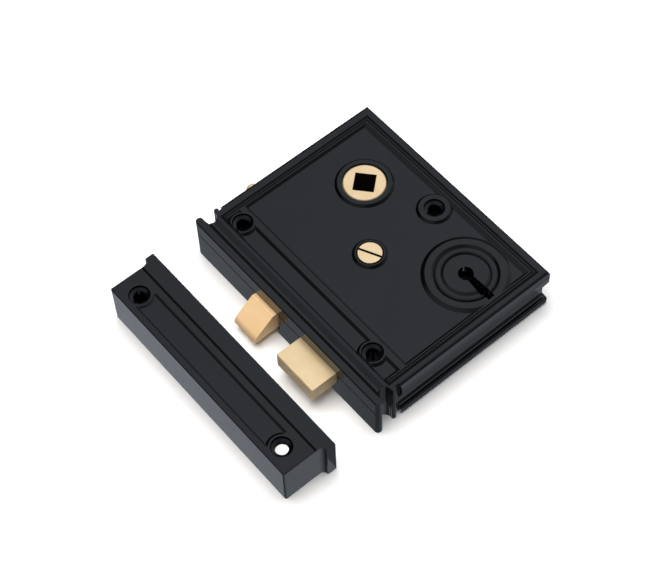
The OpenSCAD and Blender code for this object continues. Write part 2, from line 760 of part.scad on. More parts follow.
// A closed line with sloped sides, its middle at an inset from the lip, and its front side
// within the sloped side of the sunk strip
module border_line(inset, half, depth) {
    x0 = forend_x + strip_x + 1.2 * line_half;
    x1 = case_back - inset;
    y0 = inset - relief_shift - case_down;
    y1 = case_up - inset - relief_shift;
    run = half - line_floor;
    deep = depth + lap;
    difference() {
        sunk_block([x0 - half, x1 + half], [y0 - half, y1 + half], [for (i = [0:3]) run], depth, case_t);
        sunk_block([x0 + half, x1 - half], [y0 + half, y1 - half],
                   [for (i = [0:3]) -run * deep / depth], deep, case_t);
    }
}

// What is turned away from the rose: a dished middle, a bead between two valleys, a sloped rim
module rose_cut() {
    bead_0 = rose_r - bead_side_in;
    bead_1 = rose_r - bead_side_out;
    valley_end = bead_1 + valley_side * (1 + lap / valley_d);
    translate([key_at[0], key_at[1], case_t]) rotate_extrude() {
        polygon(concat(
            [[0, over], [0, -dish_d], [bead_0 - valley_side, -dish_d]],
            backwards(arc([(bead_0 + bead_1) / 2, -valley_d], (bead_1 - bead_0) / 2, valley_d - lap,
                          0, 180, 10)),
            [[valley_end, lap], [valley_end, over]]));
        polygon([[rose_r - rim_run * (1 + lap / panel_d), lap], [rose_r, -panel_d],
                 [rose_r + lap, -panel_d], [rose_r + lap, lap]]);
    }
}

module face_relief() {
    difference() {
        union() {
            sunk_panel();
            sunk_strip();
        }
        standing_round([0, 0], ring_r, round_run, case_t, panel_d);
        standing_round(screw_at, screw_boss_r, round_run, case_t, panel_d);
        standing_round(back_hole, back_boss_r, round_run, case_t, panel_d);
        pin(key_at, rose_r, case_t - panel_d - over, case_t + over);
        for (at = front_holes) standing_round(at, front_boss_r, round_run, case_t, panel_d);
    }
    intersection() {
        rose_cut();
        sunk_panel();
    }
    border_line(line_in, line_half, line_d);
    border_line(line_in + fine_in, fine_half, fine_d);
}

// What rounds an edge that runs along the origin, with the body below it and to the right
module edge_round(r) {
    polygon(concat([[-over, -r]], backwards(arc([r, -r], r, r, 90, 180, 4)),
                   [[r, over], [-over, over]]));
}

// Groove, sloped band and eased edge along the forend, as cut away from the face
module forend_relief() {
    lower = -case_down - over - ear_r;
    upper = case_up + over + ear_r;
    rise = slope_x + slope_run;
    along_y(lower, upper) translate([forend_x, case_t]) {
        polygon([[groove_x - groove_half, 0], [groove_x, -groove_d],
                 [groove_x + groove_half / 2, -step_d], [groove_x + slope_x, -step_d],
                 [groove_x + rise, 0], [groove_x + rise, over], [groove_x - groove_half, over]]);
        edge_round(ease);
        translate([0, -incised_drop])
            polygon([[-lap, -incised_d - lap], [incised_d, 0], [-lap, incised_d + lap]]);
    }
}

module mouths() {
    x0 = forend_x - over;
    x1 = forend_x + forend_t + over;
    block([x0, -latch_y - latch_w - latch_mouth_gap, latch_z - mouth_gap],
          [x1, mouth_gap - latch_y, latch_z + latch_h + mouth_gap]);
    block([x0, -bolt_y - bolt_w - mouth_gap, bolt_z - mouth_gap],
          [x1, mouth_gap - bolt_y, bolt_z + bolt_h + mouth_gap]);
}

module snib_slot() {
    translate([0, case_up + over, snib_z]) rotate([90, 0, 0])
        linear_extrude(case_up + over - cavity_up + over)
            slot_plan(knob_x - snib_travel, knob_x, 0, shank_r + slide_gap);
}

// Chamfered mouth of a round hole in the outer face
module eased_mouth(at, r) {
    translate([at[0], at[1], case_t - mouth_ease])
        cylinder(h = mouth_ease + hair, r1 = r, r2 = r + mouth_ease);
}

module front_case() color(enamel) {
    bearing_z = hub_top + slide_gap;
    difference() {
        union() {
            difference() {
                union() {
                    moulded(moulding, mould_x);
                    linear_extrude(case_t) forend_plan();
                }
                translate([0, 0, -over]) linear_extrude(face_under + over) cavity_plan(0);
            }
            for (at = concat(front_holes, [back_hole])) pin(at, tube_r, plate_t, face_under + lap);
            pin([0, 0], journal_r + bearing_wall, bearing_z, face_under + lap);
            block([spring_lug_x, spring_y - spring_lug_w / 2, latch_tail_top + tail_gap],
                  [fork_x, spring_y + spring_lug_w / 2, face_under + lap]);
        }
        face_relief();
        forend_relief();
        mouths();
        snib_slot();
        for (at = concat(front_holes, [back_hole])) seat_hole(at, case_t);
        sunk_hole(screw_at, case_t - screw_rim, screw_r + head_gap, screw_head_r + head_gap,
                  screw_head_h - screw_rim);
        eased_mouth(screw_at, screw_head_r + head_gap);
        eased_mouth([0, 0], journal_r + run_fit);
        pin([0, 0], journal_r + run_fit, plate_t, case_t + over);
        translate([0, 0, face_under - over]) linear_extrude(face_t + 2 * over) keyhole_plan();
        translate([spring_lug_x - over, spring_y, spring_z]) rotate([0, 90, 0])
            cylinder(h = over + peg_root, r = peg_r + pin_fit);
    }
}

module back_plate() color(enamel) difference() {
    union() {
        moulded(plate_edge, mould_x + plate_gap);
        linear_extrude(plate_t) intersection() {
            cavity_plan(plate_gap);
            translate([forend_x, -case_down]) square([forend_len + over, case_up + case_down]);
        }
    }
    for (at = concat(front_holes, [back_hole])) pin(at, hole_r, -over, plate_t + over);
    pin([0, 0], inner_journal_r + run_fit, -over, plate_t + over);
    translate([0, 0, -over]) linear_extrude(plate_t + 2 * over) keyhole_plan();
    pin(pivot_at, pivot_r + pin_fit, blind_z, plate_t + over);
    pin(stud_at, stud_r + pin_fit, blind_z, plate_t + over);
    pin(screw_at, pillar_r - spigot_in + pin_fit, blind_z, plate_t + over);
}

module case_pillar() color(steel) difference() {
    union() {
        pin(screw_at, pillar_r, plate_t, face_under);
        pin(screw_at, pillar_r - spigot_in, blind_z, plate_t + lap);
    }
    pin(screw_at, screw_r + pin_fit, case_t - screw_head_h - screw_len - screw_room, face_under + over);
}

module case_screw() color(brass) difference() {
    union() {
        translate([screw_at[0], screw_at[1], case_t - screw_head_h])
            cylinder(h = screw_head_h - screw_rim, r1 = screw_r, r2 = screw_head_r);
        pin(screw_at, screw_head_r, case_t - screw_rim, case_t);
        pin(screw_at, screw_r, case_t - screw_head_h - screw_len, case_t - screw_head_h + lap);
    }
    translate([screw_at[0], screw_at[1], case_t]) rotate([0, 0, -screw_slot_turn])
        cube([2 * screw_head_r + over, screw_slot_w, 2 * screw_slot_d], center = true);
}

module follower() color(brass) difference() {
    top = case_t - follower_in;
    union() {
        pin([0, 0], inner_journal_r, 0, hub_z + lap);
        pin([0, 0], hub_r, hub_z, hub_top);
        pin([0, 0], journal_r, hub_top - lap, top - follower_ease);
        translate([0, 0, top - follower_ease])
            cylinder(h = follower_ease, r1 = journal_r, r2 = journal_r - follower_ease);
        translate([0, 0, wing_z]) linear_extrude(wing_h) {
            translate([-wing_r, -wing_len]) square([2 * wing_r, 2 * wing_len]);
            for (y = [-wing_len, wing_len]) translate([0, y]) circle(r = wing_r);
        }
    }
    translate([0, 0, -over]) linear_extrude(case_t + 2 * over)
        rotate(spindle_turn) square(spindle_w, center = true);
}

// Places of the two rivets through the latch bolt
latch_rivet_at = [for (s = [-1, 1]) [latch_rear - rivet_in, latch_mid_y + s * rivet_gap / 2]];

module latch_bolt() color(brass) {
    tip = forend_x - latch_out;
    top = latch_z + latch_h;
    nose = [tip + latch_nose_r, latch_z + latch_nose_z];
    bevel_top = [forend_x - latch_flat, top];
    to_top = bevel_top - nose;
    bevel_end = atan2(to_top[1], to_top[0]) + acos(latch_nose_r / norm(to_top));
    difference() {
        along_y(-latch_y - latch_w, -latch_y)
            polygon(concat([[latch_rear, latch_z], [latch_rear, top], bevel_top],
                           arc(nose, latch_nose_r, latch_nose_r, bevel_end, 180, 8),
                           [[tip, latch_z]]));
        block([latch_step_x, -latch_y - latch_w - over, 0], [latch_rear + over, over, latch_tail_top]);
        for (at = latch_rivet_at) pin(at, rivet_r + pin_fit, 0, top + over);
    }
}

module latch_tail() color(steel) {
    bar_y = tail_in - latch_y - latch_w;
    prong_end = lug_x + lug_t + prong_past;
    difference() {
        union() {
            block([latch_step_x, bar_y, tail_z], [fork_x, -stop_y, latch_tail_top]);
            block([fork_x - fork_bar, bar_y, tail_z], [fork_x, fork_y + prong_w, latch_tail_top]);
            block([fork_x - lap, -fork_y - prong_w, tail_z], [prong_end, -fork_y, latch_tail_top]);
            block([fork_x - lap, fork_y, tail_z], [prong_end, fork_y + prong_w, latch_tail_top]);
            block([lug_x, -lug_y - lug_w, tail_z], [lug_x + lug_t, -lug_y, wing_z + wing_h]);
            block([lug_x, lug_y, tail_z], [lug_x + lug_t, lug_y + lug_w, wing_z + wing_h]);
            block([stop_x, -stop_y - stop_w, tail_z],
                  [stop_x + lug_t, -stop_y, arm_z + arm_t + stop_over]);
        }
        for (at = latch_rivet_at) pin(at, rivet_r + pin_fit, 0, latch_tail_top + over);
    }
}

module latch_rivets() color(steel) {
    for (at = latch_rivet_at) pin(at, rivet_r, tail_z, latch_z + latch_h);
}

// Coil along X: rings of points round the wire, joined by triangles
module latch_spring() color(spring_steel) {
    sides = 6;
    steps = 14;
    wire_r = spring_wire / 2;
    coil_r = spring_r - wire_r;
    x0 = latch_rear + wire_r + coil_gap;
    x1 = spring_lug_x - wire_r - coil_gap;
    count = spring_turns * steps;
    points = [for (i = [0:count], j = [0:sides - 1])
        let (a = 360 * i / steps, b = 360 * j / sides, r = coil_r + wire_r * cos(b))
            [x0 + (x1 - x0) * i / count + wire_r * sin(b), spring_y + r * cos(a), spring_z + r * sin(a)]];
    sleeve = [for (i = [0:count - 1], j = [0:sides - 1], k = [0, 1])
        let (a = i * sides + j, b = i * sides + (j + 1) % sides)
            k == 0 ? [a, b, b + sides] : [a, b + sides, a + sides]];
    start = [for (j = [sides - 1:-1:0]) j];
    end = [for (j = [0:sides - 1]) count * sides + j];
    polyhedron(points, concat(sleeve, [start, end]));
}

module latch_spring_peg() color(steel) {
    translate([spring_lug_x - peg_len, spring_y, spring_z]) rotate([0, 90, 0])
        cylinder(h = peg_len + peg_root, r = peg_r);
}

module dead_bolt() color(brass) {
    tip = forend_x - bolt_out;
    rear = forend_x + bolt_in;
    step_x = rear - bolt_step;
    c = bolt_chamfer;
    y0 = -bolt_y - bolt_w;
    difference() {
        union() {
            intersection() {
                translate([0, 0, bolt_z]) linear_extrude(bolt_h)
                    polygon([[rear, y0], [rear, -bolt_y], [tip + c, -bolt_y], [tip, -bolt_y - c],
                             [tip, y0 + c], [tip + c, y0]]);
                along_y(y0, -bolt_y)
                    polygon([[rear, bolt_z], [rear, bolt_z + bolt_h], [tip + c, bolt_z + bolt_h],
                             [tip, bolt_z + bolt_h - c], [tip, bolt_z + c], [tip + c, bolt_z]]);
            }
            block([step_x, bolt_tail_y - bolt_tail_w, tail_z],
                  [rear + bolt_step, bolt_tail_y, bolt_z + over]);
            block([step_x, bolt_tail_y - bolt_tail_w, tail_z],
                  [bolt_tail_x, bolt_tail_y, bolt_tail_top]);
        }
        translate([0, 0, tail_z - over]) linear_extrude(bolt_tail_t + 2 * over) {
            slot_plan(pivot_at[0] - bolt_travel, pivot_at[0], pivot_at[1], pivot_r + slide_gap);
            slot_plan(stud_at[0] - bolt_travel, stud_at[0], stud_at[1], stud_r + slide_gap);
            translate([talon_x - talon_w / 2, bolt_tail_y - bolt_tail_w - over])
                square([talon_w, talon_d + over]);
        }
        pin(stump_at, stump_r + pin_fit, 0, bolt_tail_top + over);
    }
}

module bolt_stump() color(steel) pin(stump_at, stump_r, tail_z, levers_top + stump_over);

module bolt_guide_stud() color(steel) pin(stud_at, stud_r, blind_z, bolt_tail_top);

module lever_pivot() color(steel) {
    pin(pivot_at, pivot_r, blind_z, levers_top + stump_over);
    pin(pivot_at, pivot_r + collar_w, levers_top + slide_gap, levers_top + slide_gap + collar_t);
}

// Where the stump stands in a lever's own frame after the bolt has moved by u
function stump_in_lever(u) =
    let (a = -lever_lift * u / bolt_travel, d = stump_at + [u, 0] - pivot_at)
        pivot_at + [d[0] * cos(a) - d[1] * sin(a), d[0] * sin(a) + d[1] * cos(a)];

// Window of a lever: two pockets, and a gate along the stump's path between them
module lever_window_plan() {
    r = stump_r + slide_gap;
    path = [for (i = [0:6]) stump_in_lever(bolt_travel * i / 6)];
    last = path[6];
    polygon(concat([for (p = path) p + [0, r]], backwards([for (p = path) p - [0, r]])));
    translate(path[0] - [r + pocket_room, r + pocket_room])
        square([2 * r + pocket_room, 2 * r + pocket_room + pocket_rise]);
    translate(last - [r, r + pocket_fall])
        square([2 * r + pocket_room, 2 * r + pocket_fall + pocket_rise]);
}

lever_top_y = -pivot_y + lever_eye_r;

module lever(belly, z) {
    low = belly - key_y;
    difference() {
        union() {
            pin(pivot_at, lever_eye_r, z, z + lever_t);
            translate([0, 0, z]) linear_extrude(lever_t)
                polygon([[-pivot_x, -pivot_y], [lever_front - pivot_x, lever_top_y],
                         [key_x + lever_shoulder, lever_top_y],
                         [key_x + lever_rear, lever_top_y - lever_drop],
                         [key_x + lever_rear, low + belly_rise],
                         [key_x + belly_half, low], [key_x - belly_half, low],
                         [key_x - neck_front, -pivot_y - lever_eye_r - neck_drop],
                         [lever_front - pivot_x, -pivot_y - lever_eye_r]]);
        }
        pin(pivot_at, pivot_r + run_fit, z - over, z + lever_t + over);
        translate([0, 0, z - over]) linear_extrude(lever_t + 2 * over) lever_window_plan();
    }
}

module lever_1() color(steel) lever(belly_1, lever_1_z);

module lever_2() color(steel) lever(belly_2, lever_2_z);

// Leaf that lies on a lever's upper edge and rises towards the post of the case screw
module leaf(z) {
    foot_x = leaf_foot - pivot_x;
    rise_x = foot_x + leaf_flat;
    tip_x = screw_at[0] + leaf_past;
    rise = screw_at[1] - pillar_r - leaf_gap - leaf_t - lever_top_y;
    under = concat([[foot_x, lever_top_y]],
                   [for (i = [0:6]) let (t = i / 6)
                       [rise_x + (tip_x - rise_x) * t, lever_top_y + rise * t * t]]);
    translate([0, 0, z + leaf_in]) linear_extrude(lever_t - 2 * leaf_in)
        polygon(concat([for (p = under) p + [0, leaf_t]], backwards(under)));
}

module lever_1_spring() color(spring_steel) leaf(lever_1_z);

module lever_2_spring() color(spring_steel) leaf(lever_2_z);

module key_ward() color(steel) difference() {
    pin(key_at, ward_r, plate_t, plate_t + ward_h);
    pin(key_at, ward_r - ward_wall, 0, plate_t + ward_h + over);
    translate([0, 0, plate_t - over]) linear_extrude(ward_h + 2 * over) keyhole_plan();
}

module snib_slide() color(steel) difference() {
    union() {
        block([arm_x - slide_front, slide_y - snib_t, arm_z - slide_below],
              [arm_x + slide_rear, slide_y, slide_top]);
        block([arm_x, -stop_y - stop_w, arm_z], [arm_x + arm_w, slide_y - lap, arm_z + arm_t]);
    }
    translate([knob_x, slide_y + over, snib_z]) rotate([90, 0, 0])
        cylinder(h = snib_t + 2 * over, r = shank_r + pin_fit);
}

module snib_knob() color(brass) {
    end = case_up + knob_out;
    shank_len = end - slide_y + snib_t;
    translate([knob_x, end, snib_z]) rotate([90, 0, 0]) rotate_extrude()
        polygon(concat(backwards(arc([knob_r - knob_round, knob_round], knob_round, knob_round, -90, 0, 5)),
                       [[0, 0], [0, shank_len], [shank_r, shank_len], [shank_r, knob_len],
                        [knob_r - knob_ease, knob_len], [knob_r, knob_len - knob_ease]]));
}

// Bowed strip between the snib's slide and the underside of the face
module snib_spring() color(spring_steel) {
    bow_rise = bow_room - slide_gap - bow_t - coil_gap;
    bow = [for (i = [0:8]) let (t = i / 8)
        [arm_x - bow_front + bow_len * t, slide_top + coil_gap + 4 * bow_rise * t * (1 - t)]];
    along_y(slide_y - snib_t, slide_y)
        polygon(concat(bow, backwards([for (p = bow) p + [0, bow_t]])));
}

module keep_plan() {
    mid = -keep_mid;
    r = keep_corner_r;
    translate([keep_out_x + r, mid - keep_len / 2]) square([keep_w - r, keep_len]);
    translate([keep_out_x, mid - keep_len / 2 + r]) square([keep_w, keep_len - 2 * r]);
    for (side = [0, 1]) translate([keep_x, mid]) mirror([0, side]) {
        translate([r - keep_w, keep_len / 2 - r]) circle(r = r);
        translate([-keep_ear_w, keep_len / 2 - over]) square([keep_ear_w, keep_ear_in + over]);
        difference() {
            translate([-keep_ear_w - keep_ear_in, keep_len / 2 - lap])
                square([keep_ear_in + lap, keep_ear_in]);
            translate([-keep_ear_w - keep_ear_in, keep_ear_len / 2]) circle(r = keep_ear_in);
        }
    }
}

keep_holes = [for (s = [-1, 1]) [keep_out_x + keep_hole_x, s * keep_hole_gap / 2 - keep_mid]];

module keep_relief() {
    panel_x0 = keep_out_x + keep_panel_x;
    panel_y = keep_hole_gap / 2 - keep_panel_end;
    difference() {
        sunk_block([panel_x0, panel_x0 + keep_panel_w], [-panel_y - keep_mid, panel_y - keep_mid],
                   [keep_run, keep_run, 0, 0], keep_panel_d, keep_t);
        for (at = keep_holes) standing_round(at, keep_boss_r, round_run, keep_t, keep_panel_d);
    }
    along_y(-keep_mid - keep_ear_len, keep_ear_len - keep_mid) {
        translate([keep_x - keep_groove_x, keep_t])
            polygon([[-keep_groove_d - lap, lap], [0, -keep_groove_d], [keep_groove_d + lap, lap]]);
        translate([keep_out_x, keep_t]) edge_round(keep_ease);
        translate([keep_x, keep_t]) mirror([1, 0]) edge_round(keep_ease);
    }
    for (side = [0, 1]) translate([0, -keep_mid, 0]) mirror([0, side, 0])
        along_x(keep_out_x - over, keep_x - keep_ear_w - keep_ear_in)
            translate([-keep_len / 2, keep_t]) edge_round(keep_ease);
}

module keep_box() color(enamel) difference() {
    linear_extrude(keep_t) keep_plan();
    block([keep_out_x + keep_wall, keep_wall - keep_mid - keep_len / 2, -over],
          [keep_x + over, keep_len / 2 - keep_mid - keep_wall, keep_t - keep_top]);
    keep_relief();
    for (at = keep_holes) seat_hole(at, keep_t);
}

front_case();
back_plate();
case_pillar();
case_screw();
follower();
latch_bolt();
latch_tail();
latch_rivets();
latch_spring();
latch_spring_peg();
dead_bolt();
bolt_stump();
bolt_guide_stud();
lever_1();
lever_2();
lever_1_spring();
lever_2_spring();
lever_pivot();
key_ward();
snib_slide();
snib_knob();
snib_spring();
keep_box();
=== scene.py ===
import json
import math

import bpy
from mathutils import Matrix, Vector


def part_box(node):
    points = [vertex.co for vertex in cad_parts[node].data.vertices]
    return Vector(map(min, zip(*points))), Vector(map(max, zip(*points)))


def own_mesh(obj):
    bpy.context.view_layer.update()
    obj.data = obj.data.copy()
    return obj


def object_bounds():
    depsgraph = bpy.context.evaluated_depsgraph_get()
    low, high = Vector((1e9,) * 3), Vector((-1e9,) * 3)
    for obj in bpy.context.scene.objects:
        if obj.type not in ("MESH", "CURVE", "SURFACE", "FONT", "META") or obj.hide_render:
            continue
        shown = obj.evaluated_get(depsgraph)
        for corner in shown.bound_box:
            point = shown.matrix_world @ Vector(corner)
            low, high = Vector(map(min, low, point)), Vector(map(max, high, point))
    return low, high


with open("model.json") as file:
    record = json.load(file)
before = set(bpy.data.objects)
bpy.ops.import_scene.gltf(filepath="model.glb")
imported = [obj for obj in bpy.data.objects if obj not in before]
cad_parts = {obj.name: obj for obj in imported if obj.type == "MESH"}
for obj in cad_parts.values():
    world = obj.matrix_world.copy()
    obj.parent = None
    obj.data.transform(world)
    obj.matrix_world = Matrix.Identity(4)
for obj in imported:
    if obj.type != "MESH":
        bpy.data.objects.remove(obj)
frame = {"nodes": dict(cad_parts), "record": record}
cad_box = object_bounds()

MM = 0.001

# Camera, solved from the photograph's straight edges
FOCAL_PX = 1791.0
PHOTO_WIDTH_PX = 665
SENSOR_MM = 36.0
CAMERA_AZIMUTH = math.radians(-38.08)
CAMERA_ELEVATION = math.radians(57.76)
CAMERA_ROLL = math.radians(-2.43)
CAMERA_TARGET = Vector((-40.42, -29.54, 20.0)) * MM
CAMERA_DISTANCE = 636.8 * MM
CAMERA_CLIP_START = 10 * MM

# Finishes. Each noise is given as its grains per metre and its detail, each bump as its
# strength and height, and each roughness as its lowest and highest value. Most of a noise's
# values lie in the spread.
NOISE_SPREAD = (0.3, 0.7)
NOISE_ROUGHNESS = 0.5
PLAIN_SPECULAR = 0.5
EDGE_SAMPLES = 6

# Black enamel, with clouds of tone, a fine grain and slight waves
ENAMEL_IOR = 1.46
ENAMEL_TONES = ((0.0005, 0.0006, 0.0008), (0.0012, 0.0014, 0.0018))
ENAMEL_CLOUDS = (90, 4)
ENAMEL_SHEEN = (420, 4)
ENAMEL_ROUGHNESS = (0.11, 0.19)
ENAMEL_EDGE = 0.14 * MM
ENAMEL_WAVES = (150, 2)
ENAMEL_WAVE_BUMP = (0.08, 0.2 * MM)
ENAMEL_GRAIN = (1900, 2)
ENAMEL_GRAIN_BUMP = (0.07, 0.04 * MM)

# Brass, turned or cast. The cast latch is less metallic, as its skin is dull.
BRASS_IOR = 1.45
BRASS_TONES = ((0.86, 0.62, 0.34), (0.93, 0.70, 0.42))
BRASS_METALLIC = 0.66
CAST_BRASS_TONES = ((0.91, 0.59, 0.29), (0.96, 0.65, 0.35))
CAST_BRASS_METALLIC = 0.15
BRASS_CLOUDS = (140, 4)
BRASS_SHEEN = (500, 3)
BRASS_ROUGHNESS = (0.32, 0.42)
BRASS_EDGE = 0.22 * MM
BRASS_GRAIN = (900, 3)
BRASS_GRAIN_BUMP = (0.04, 0.03 * MM)

# The spindle's square hole and the screw's slot are painted dark and dull inside, a painted shade
# for their depth, up to just below the polished end
SPINDLE_CORE_RADIUS = 5.9 * MM
SLOT_CORE_RADIUS = 4.4 * MM
CORE_BELOW = 0.05 * MM
CORE_SHADE_TONE = (0.012, 0.009, 0.006)
CORE_SHADE_SPECULAR = 0.05

# Steel, with fine lines along X: each steel's darkest and lightest tone and its roughness. The
# lines' number per metre is in their stretch, so their own scale is 1, and 0.7 is how rough
# their noise is.
STEELS = {
    "steel": ((0.46, 0.47, 0.49), (0.58, 0.59, 0.60), 0.34),
    "lever_steel": ((0.52, 0.51, 0.48), (0.62, 0.61, 0.58), 0.28),
    "spring_steel": ((0.20, 0.22, 0.27), (0.30, 0.31, 0.34), 0.30),
}
STEEL_CLOUDS = (160, 4)
STEEL_LINES = (1, 4, 0.7)
STEEL_LINES_PER_METRE = (500, 6400, 6400)
STEEL_ROUGHNESS_EACH_WAY = 0.08
STEEL_EDGE = 0.12 * MM
STEEL_LINE_BUMP = (0.15, 0.02 * MM)

# Floor, slightly warm, so that its shadows are grey under the studio's cool light
FLOOR_SIZE = 8.0
FLOOR_HEIGHT = -0.02 * MM
FLOOR_SPECULAR = 0.2
FLOOR_TONES = ((0.92, 0.89, 0.855), (0.93, 0.90, 0.865))
FLOOR_CLOUDS = (3, 2)
FLOOR_SHEEN = (40, 3)
FLOOR_ROUGHNESS = (0.7, 0.8)

# Cards that only reflections see, glowing sheets that paint the floor's shade into reflections,
# with each one's level at its -Y and +Y ends. The gap's card goes past the part at both ends, the
# foot's reaches out from the lock's foot, and the keep's stays inside the keep's outline; the
# keep's is black, a painted shade. A card is one metre square before it is scaled.
CARD_HEIGHT = -0.05 * MM
CARD_ENDS = (-0.5, 0.5)
GAP_CARD_PAST = 14 * MM
GAP_CARD_SHADE_LEVELS = (0.21, 0.38)
FOOT_CARD_DEPTH = 12 * MM
FOOT_CARD_SHADE_LEVELS = (0.29, 0.29)
KEEP_CARD_IN = 4 * MM
KEEP_CARD_SHADE_LEVELS = (0.0, 0.0)

# Soft glows and shades of the studio: the direction each comes from, the cosines at which it
# starts and is full, its level and the curve between them
STUDIO_WHITE = (0.90, 0.98, 1.09)
STUDIO_DIM = 0.09
STUDIO_DARKEST = 0.015
GLOWS = [
    ((0.45, 0.50, 0.74), 0.0, 1.0, 0.83, 1.3),
    ((0.33, -0.90, -0.22), 0.93, 1.0, 0.85, 1.0),
    ((-0.25, 0.65, -0.72), 0.85, 1.0, 1.04, 1.0),
    ((0.10, -0.80, -0.60), 0.5, 0.90, 0.58, 1.0),
    ((-0.72, -0.10, 0.55), 0.75, 1.0, 0.30, 1.0),
    ((-0.60, 0.42, 0.68), 0.65, 0.97, -0.14, 1.0),
    ((0.15, 0.95, -0.15), 0.28, 0.82, -0.62, 1.0),
]

# Softboxes: where each stands and what it faces in metres, its width and height, and its watts
SOFTBOXES = {
    "overhead": ((-0.10, 0.10, 1.1), (-0.04, -0.02, 0), (0.9, 0.9), 16.5),
    "under_keep": ((-0.0870, -0.0600, 0.012), (-0.0855, -0.0560, 0), (0.005, 0.012), 0.0020),
}


def make_camera():
    """The camera at the photograph's viewing angle."""
    az, el, roll = CAMERA_AZIMUTH, CAMERA_ELEVATION, CAMERA_ROLL
    back = Vector((math.sin(az) * math.cos(el), -math.cos(az) * math.cos(el), math.sin(el)))
    level_right = Vector((math.cos(az), math.sin(az), 0))
    level_up = back.cross(level_right)
    right = level_right * math.cos(roll) + level_up * math.sin(roll)
    up = level_up * math.cos(roll) - level_right * math.sin(roll)
    data = bpy.data.cameras.new("camera")
    data.sensor_fit = "HORIZONTAL"
    data.sensor_width = SENSOR_MM
    data.lens = FOCAL_PX / PHOTO_WIDTH_PX * SENSOR_MM
    data.clip_start = CAMERA_CLIP_START
    camera = bpy.data.objects.new("camera", data)
    place = CAMERA_TARGET + back * CAMERA_DISTANCE
    camera.matrix_world = Matrix((
        (right.x, up.x, back.x, place.x),
        (right.y, up.y, back.y, place.y),
        (right.z, up.z, back.z, place.z),
        (0, 0, 0, 1),
    ))
    bpy.context.scene.collection.objects.link(camera)
    bpy.context.scene.camera = camera


def centre_of(low, high):
    """The middle of a box in plan."""
    return (low[0] + high[0]) / 2, (low[1] + high[1]) / 2


def connect(tree, socket, value):
    """Link a node's output to a socket, or set the socket to a plain value."""
    if hasattr(value, "links"):
        tree.links.new(value, socket)
    else:
        socket.default_value = value


def math_node(tree, operation, first, second):
    node = tree.nodes.new("ShaderNodeMath")
    node.operation = operation
    connect(tree, node.inputs[0], first)
    connect(tree, node.inputs[1], second)
    return node.outputs["Value"]


class Finish:
    """A material with short calls for the nodes that the finishes share."""

    def __init__(self, name):
        self.material = bpy.data.materials.new(name)
        self.material.use_nodes = True
        self.tree = self.material.node_tree
        self.shader = self.tree.nodes["Principled BSDF"]
        self.where = self.tree.nodes.new("ShaderNodeTexCoord").outputs["Object"]

    def set(self, **values):
        """Set constants on the shader's own sockets."""
        for name, value in values.items():
            self.shader.inputs[name.replace("_", " ")].default_value = value

    def feed(self, socket, value):
        self.tree.links.new(value, self.shader.inputs[socket])

    def math(self, operation, first, second):
        return math_node(self.tree, operation, first, second)

    def split(self):
        """The place's X, Y and Z."""
        node = self.tree.nodes.new("ShaderNodeSeparateXYZ")
        self.tree.links.new(self.where, node.inputs["Vector"])
        return [node.outputs[axis] for axis in "XYZ"]

    def stretched(self, scale):
        node = self.tree.nodes.new("ShaderNodeMapping")
        node.inputs["Scale"].default_value = scale
        self.tree.links.new(self.where, node.inputs["Vector"])
        return node.outputs["Vector"]

    def noise(self, per_metre, detail, roughness=NOISE_ROUGHNESS, vector=None):
        node = self.tree.nodes.new("ShaderNodeTexNoise")
        node.inputs["Scale"].default_value = per_metre
        node.inputs["Detail"].default_value = detail
        node.inputs["Roughness"].default_value = roughness
        self.tree.links.new(vector or self.where, node.inputs["Vector"])
        return node.outputs["Fac"]

    def ranged(self, value, low, high, source=NOISE_SPREAD):
        """A value moved from its source range to low and high."""
        node = self.tree.nodes.new("ShaderNodeMapRange")
        node.inputs["From Min"].default_value = source[0]
        node.inputs["From Max"].default_value = source[1]
        node.inputs["To Min"].default_value = low
        node.inputs["To Max"].default_value = high
        self.tree.links.new(value, node.inputs["Value"])
        return node.outputs["Result"]

    def mixed(self, factor, first, second):
        """Two tones mixed, each a colour or another node's output."""
        node = self.tree.nodes.new("ShaderNodeMix")
        node.data_type = "RGBA"
        self.tree.links.new(factor, node.inputs["Factor"])
        for socket, tone in ((node.inputs["A"], first), (node.inputs["B"], second)):
            connect(self.tree, socket, tone if hasattr(tone, "links") else (*tone, 1))
        return node.outputs["Result"]

    def clouded(self, clouds, tones):
        return self.mixed(self.ranged(self.noise(*clouds), 0, 1), *tones)

    def bumped(self, height, strength, distance, normal):
        node = self.tree.nodes.new("ShaderNodeBump")
        node.inputs["Strength"].default_value = strength
        node.inputs["Distance"].default_value = distance
        self.tree.links.new(height, node.inputs["Height"])
        self.tree.links.new(normal, node.inputs["Normal"])
        return node.outputs["Normal"]

    def eased_edges(self, radius):
        node = self.tree.nodes.new("ShaderNodeBevel")
        node.samples = EDGE_SAMPLES
        node.inputs["Radius"].default_value = radius
        return node.outputs["Normal"]

    def core(self, centre, radius, top):
        """1 within a radius of a place in plan and below a height, else 0."""
        place_x, place_y, place_z = self.split()
        x = self.math("SUBTRACT", place_x, centre[0])
        y = self.math("SUBTRACT", place_y, centre[1])
        squares = self.math("ADD", self.math("MULTIPLY", x, x), self.math("MULTIPLY", y, y))
        near = self.math("LESS_THAN", squares, radius * radius)
        below = self.math("LESS_THAN", place_z, top)
        return self.math("MULTIPLY", near, below)


def black_enamel():
    f = Finish("black_enamel")
    f.set(IOR=ENAMEL_IOR, Specular_IOR_Level=PLAIN_SPECULAR)
    f.feed("Base Color", f.clouded(ENAMEL_CLOUDS, ENAMEL_TONES))
    f.feed("Roughness", f.ranged(f.noise(*ENAMEL_SHEEN), *ENAMEL_ROUGHNESS))
    edges = f.eased_edges(ENAMEL_EDGE)
    wavy = f.bumped(f.noise(*ENAMEL_WAVES), *ENAMEL_WAVE_BUMP, edges)
    f.feed("Normal", f.bumped(f.noise(*ENAMEL_GRAIN), *ENAMEL_GRAIN_BUMP, wavy))
    return f.material


